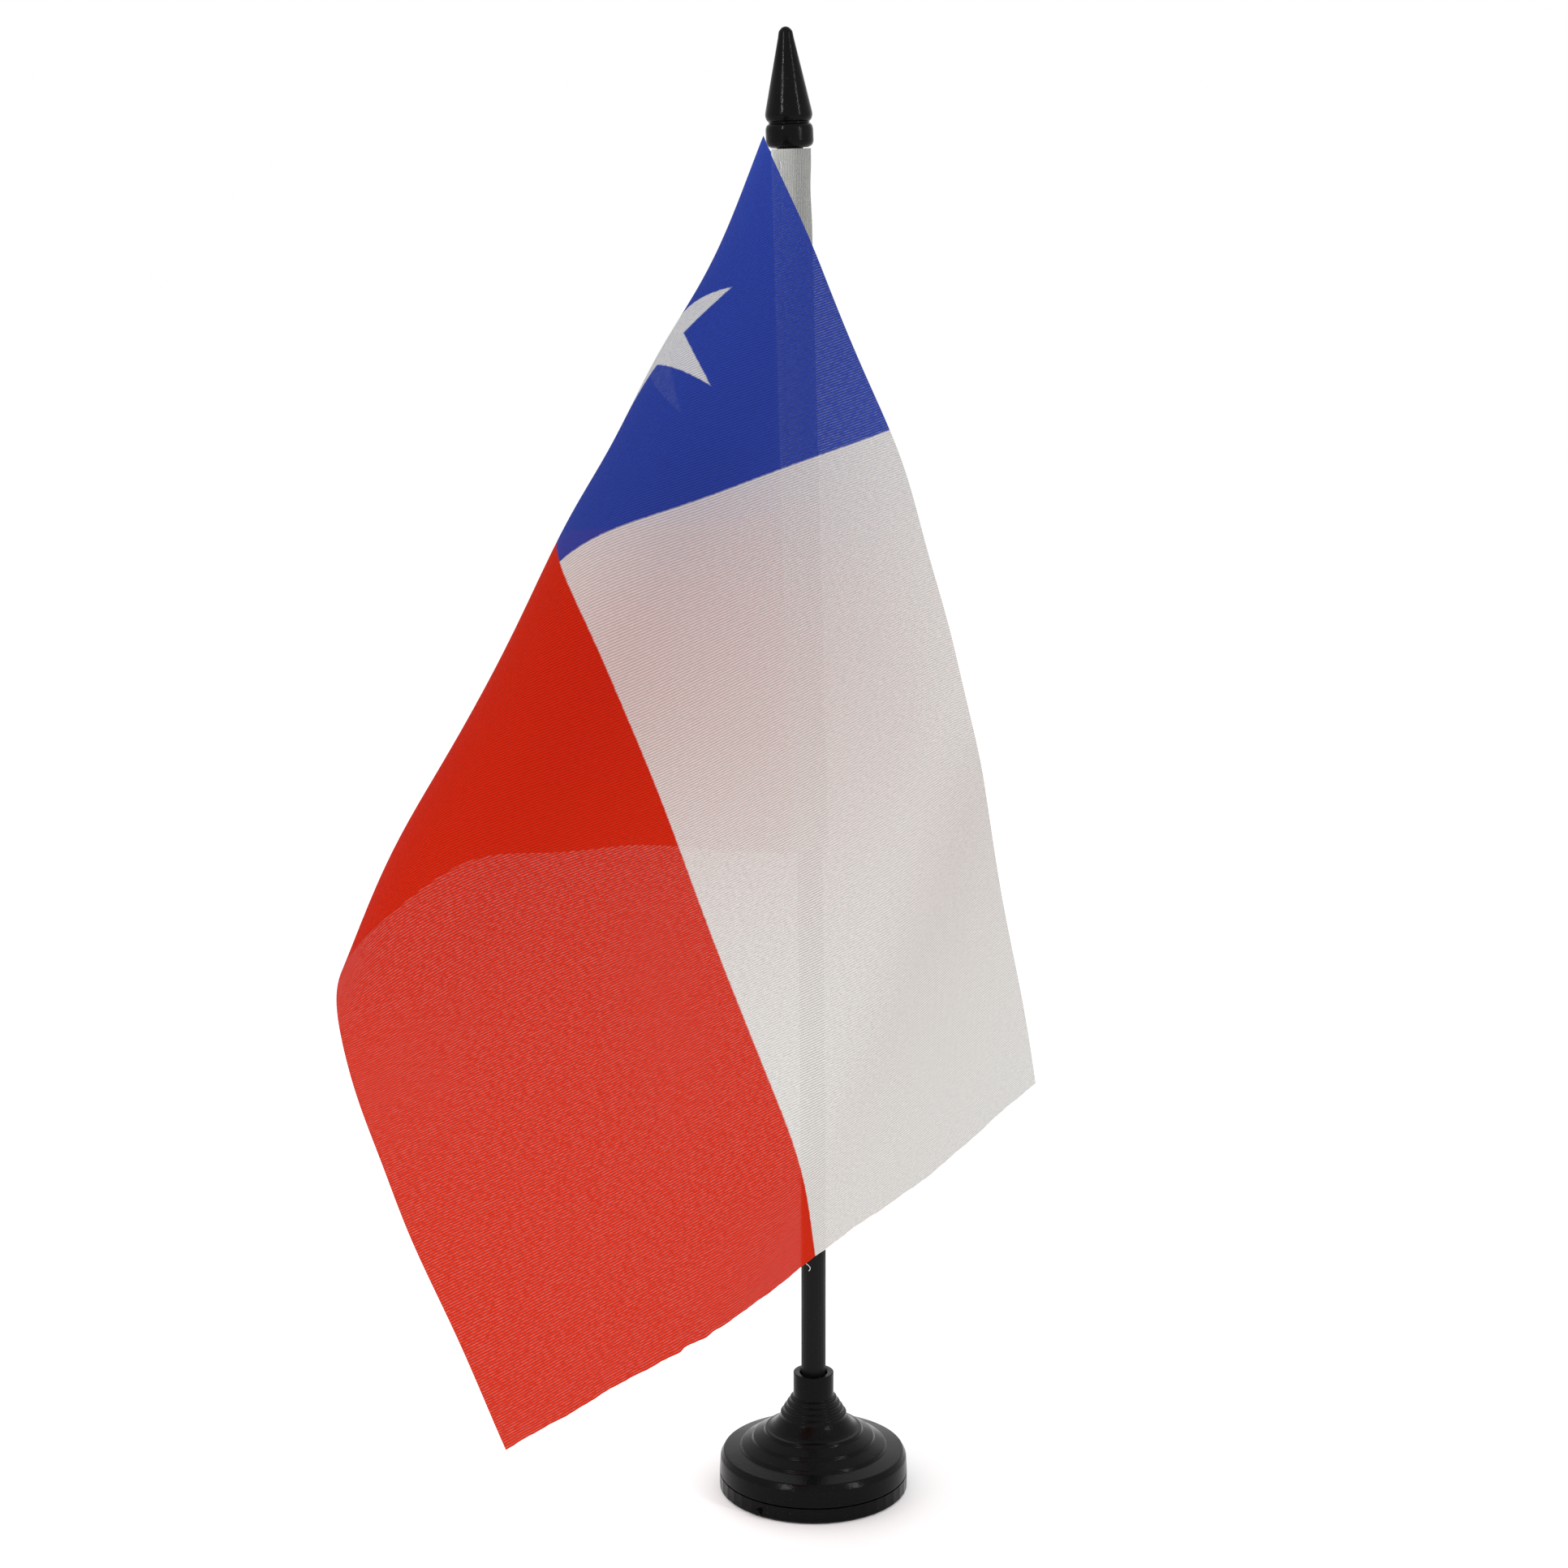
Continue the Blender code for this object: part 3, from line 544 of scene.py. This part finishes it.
def mesh_from_grid(name, points, uv):
    """A smooth mesh of a grid of points, with its flat coordinates as a UV map."""
    rows, columns = points.shape[:2]
    index = np.arange(rows * columns).reshape(rows, columns)
    corners = (index[:-1, :-1], index[1:, :-1], index[1:, 1:], index[:-1, 1:])
    mesh = bpy.data.meshes.new(name)
    mesh.from_pydata(points.reshape(-1, 3).tolist(), [], np.stack(corners, -1).reshape(-1, 4).tolist())
    layer = mesh.uv_layers.new(name="flat")
    order = np.zeros(len(mesh.loops), np.int32)
    mesh.loops.foreach_get("vertex_index", order)
    layer.data.foreach_set("uv", uv.reshape(-1, 2)[order].astype(np.float32).ravel())
    mesh.shade_smooth()
    return placed(name, mesh)


def make_cloth():
    """The flag with its hem and loop, in one sheet."""
    along, below = cloth_grid()
    seen_along = frayed(along, below)
    free = np.clip(along / FREE_LENGTH, 0.0, 1.0)[..., None]
    points = relaxed(shape(seen_along, below), seen_along, below, free)
    cloth = mesh_from_grid("flag_sheet", points, np.stack((along, below), -1))
    cloth.data.materials.append(cloth_material())
    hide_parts("hoist_sleeve", "flag_cloth")
    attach(cloth, "flag")
    return cloth, points


def tube(name, lines, radius, material):
    """Thin round tubes along lines of points."""
    curve = bpy.data.curves.new(name, "CURVE")
    curve.dimensions = "3D"
    curve.bevel_depth = radius
    curve.bevel_resolution = TUBE_ROUNDNESS
    curve.use_fill_caps = True
    for line in lines:
        spline = curve.splines.new("POLY")
        spline.points.add(len(line) - 1)
        for point, place in zip(spline.points, line):
            point.co = (*place, 1.0)
    curve.materials.append(material)
    item = placed(name, curve)
    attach(item, "flag")
    return item


def make_stitches(material):
    """Lock stitches through the hem, seen on its outer face."""
    lines = []
    for index in range(int((HOIST - 2 * STITCH_MARGIN) / STITCH_PITCH)):
        top = STITCH_MARGIN + index * STITCH_PITCH
        line = []
        for part in np.linspace(0, 1, STITCH_POINTS):
            lift = STITCH_LIFT + STITCH_ARCH * math.sin(math.pi * part)
            place = CENTRE + (SLEEVE_RADIUS + lift) * NORMAL + STITCH_LINE * HEADING
            line.append(place - (top + part * STITCH_SHARE * STITCH_PITCH) * AXIS)
        lines.append(line)
    stitches = tube("hem_stitches", lines, THREAD_RADIUS, material)
    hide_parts("sleeve_stitching")
    return stitches


def make_loose_threads(points, material):
    """Two short ends hanging from the fly edge near the pole."""
    lines = []
    for start, sway in LOOSE_ENDS:
        row = int(start / HOIST * (points.shape[0] - 1))
        place = points[row, -1]
        line = []
        for part in np.linspace(0, 1, LOOSE_POINTS):
            aside = sway * LOOSE_SWAY * math.sin(LOOSE_SWAY_RATE * part)
            line.append(place + np.array((aside, -LOOSE_FORWARD * part, -LOOSE_DROP * part)))
        lines.append(line)
    return tube("loose_threads", lines, LOOSE_RADIUS, material)


# ---------------------------------------------------------------- turned pieces
def softened(outline, radius):
    """The outline with each corner rounded off."""
    result = [outline[0]]
    for before, corner, after in zip(outline, outline[1:], outline[2:]):
        before, corner, after = (np.array(point, float) for point in (before, corner, after))
        ahead, behind = after - corner, before - corner
        cut = min(radius, ROUNDING_SHARE * np.linalg.norm(ahead), ROUNDING_SHARE * np.linalg.norm(behind))
        first, last = corner + unit(behind) * cut, corner + unit(ahead) * cut
        for part in ROUNDING_PARTS:
            result.append(tuple((1 - part) ** 2 * first + 2 * part * (1 - part) * corner + part ** 2 * last))
    result.append(outline[-1])
    return result


def turned(name, outline, sides, material):
    """An outline of (radius, height) spun round Z."""
    verts, faces = [], []
    count = len(outline)
    for side in range(sides):
        angle = 2 * math.pi * side / sides
        verts += [(r * math.cos(angle), r * math.sin(angle), z) for r, z in outline]
        other = (side + 1) % sides
        faces += [
            (side * count + k, other * count + k, other * count + k + 1, side * count + k + 1)
            for k in range(count - 1)
        ]
    mesh = bpy.data.meshes.new(name)
    mesh.from_pydata(verts, [], faces)
    work = bmesh.new()
    work.from_mesh(mesh)
    bmesh.ops.remove_doubles(work, verts=work.verts, dist=SAME_POINT)
    bmesh.ops.recalc_face_normals(work, faces=work.faces)
    work.to_mesh(mesh)
    work.free()
    mesh.shade_smooth()
    mesh.set_sharp_from_angle(angle=SHARP_ANGLE)
    mesh.materials.append(material)
    return placed(name, mesh)


def base_outline(radius_out, top):
    """Socket, collar, four small steps, a flare, three rings, shoulder, wall and underside."""
    run = radius_out - WALL_DRAFT - SHOULDER_WIDTH - LAST_SLOPE - COLLAR_RADIUS
    step, flare, ring = STEP_SHARE * run, FLARE_SHARE * run, RINGS_SHARE * run / RING_COUNT
    outline = [
        (0.0, SOCKET_FLOOR), (SOCKET_RADIUS, SOCKET_FLOOR), (SOCKET_RADIUS, top - SOCKET_BEVEL),
        (SOCKET_RADIUS + SOCKET_BEVEL, top), (COLLAR_RADIUS, top),
    ]
    radius, height = COLLAR_RADIUS, top - COLLAR_HEIGHT
    outline.append((radius, height))
    for _ in range(STEP_COUNT):
        radius += step
        outline.append((radius, height - 0.25 * STEP_DROP))
        height -= STEP_DROP
        outline.append((radius, height))
    for part in FLARE_PARTS:
        outline.append((radius + part * flare, height - FLARE_DROP * math.sin(part * math.pi / 2)))
    radius += flare
    height -= FLARE_DROP
    for _ in range(RING_COUNT):
        outline += [(radius, height), (radius + RING_BEVEL_SHARE * ring, height - RING_BEVEL_DROP)]
        radius += ring
        height -= RING_DROP
    outline += [
        (radius_out - WALL_DRAFT - SHOULDER_WIDTH, WALL_TOP + SHOULDER_HEIGHT), (radius_out - WALL_DRAFT, WALL_TOP),
        (radius_out, SEAM_HEIGHT + WALL_DRAFT), (radius_out - WALL_DRAFT, SEAM_HEIGHT), *BASE_UNDERSIDE,
    ]
    return outline


def make_base(material):
    """The base's moulded shell, as wide and as high as its CAD piece."""
    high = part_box("base_cover")[1]
    outline = softened(base_outline(high.x, high.z), BASE_ROUNDING)
    base = turned("base_shell", outline, BASE_SIDES, material)
    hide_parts("base_cover")
    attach(base, "base")


def make_finial(material):
    """The spear finial, leaning with the pole and set to the top of its CAD piece."""
    joint = JOINTS["finial_pull"]
    low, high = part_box("finial")
    axis = Vector(joint["axis"]).normalized()
    lean = math.atan2(-axis.x, axis.z)
    finial = turned("spear_finial", softened(FINIAL_OUTLINE, FINIAL_ROUNDING), FINIAL_SIDES, material)
    middle = (low.x + high.x) / 2 + BEAD_MIDDLE * math.sin(lean)
    finial.location = (middle, 0.0, high.z - FINIAL_HEIGHT * math.cos(lean))
    finial.rotation_euler = (0.0, -lean, 0.0)
    bpy.context.view_layer.update()
    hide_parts("finial")
    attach(finial, "finial")


def repaint(node, material):
    """Gives a CAD piece that is shown as it is a new material."""
    item = frame["nodes"][node]
    item.data.materials.clear()
    item.data.materials.append(material)


# ---------------------------------------------------------------- studio
def make_floor():
    """A pale floor that reads as the white page."""
    mesh = bpy.data.meshes.new("floor")
    corners = ((-1, -1), (1, -1), (1, 1), (-1, 1))
    mesh.from_pydata([(x * FLOOR_REACH, y * FLOOR_REACH, -FLOOR_DROP) for x, y in corners], [], [(0, 1, 2, 3)])
    floor = placed("floor", mesh)
    shader = Shader("pale_floor")
    shader.surface("Base Color", opaque(FLOOR_WHITE))
    shader.surface("Roughness", 0.9)
    shader.surface("Specular IOR Level", 0.0)
    shader.surface("Emission Color", opaque(LIGHT_WHITE))
    shader.surface("Emission Strength", FLOOR_GLOW)
    mesh.materials.append(shader.material)


def make_studio():
    """Floor, white surroundings, lights and the photo's camera."""
    make_floor()
    world = bpy.data.worlds.new("studio")
    bpy.context.scene.world = world
    world.use_nodes = True
    background = world.node_tree.nodes["Background"]
    background.inputs["Color"].default_value = opaque(LIGHT_WHITE)
    background.inputs["Strength"].default_value = 1.0
    for name, place, size, power in LIGHTS:
        data = bpy.data.lights.new(name, "AREA")
        data.shape = "RECTANGLE"
        data.size, data.size_y = size
        data.energy = power
        light = placed(name, data)
        light.location = place
        light.rotation_euler = (AIM - Vector(place)).to_track_quat("-Z", "Y").to_euler()
    camera = placed("camera", bpy.data.cameras.new("camera"))
    camera.data.lens = LENS
    camera.data.sensor_width = SENSOR_WIDTH
    camera.data.clip_start = CLIP_START
    camera.location = CAMERA_PLACE
    camera.rotation_euler = (CAMERA_TILT, 0.0, 0.0)
    bpy.context.scene.camera = camera
    bpy.context.scene.view_settings.view_transform = "Standard"


base_plastic = plastic(
    "satin_black_base", colour=(0.0022, 0.0020, 0.0020), roughness=0.19, grain=2400.0, specular=0.08)
pole_plastic = plastic(
    "satin_black_pole", colour=(0.0040, 0.0037, 0.0036), roughness=0.42, grain=2000.0, specular=0.11)
finial_plastic = plastic(
    "glossy_black_finial", colour=(0.0026, 0.0025, 0.0024), roughness=0.17, grain=1500.0, specular=0.07)
repaint("base_bottom_plate", base_plastic)
repaint("pole", pole_plastic)
repaint("ballast_weight", steel("turned_steel"))
sewing_thread = thread_material()
make_base(base_plastic)
make_finial(finial_plastic)
cloth, cloth_points = make_cloth()
stitches = make_stitches(sewing_thread)
loose = make_loose_threads(cloth_points, sewing_thread)
make_studio()
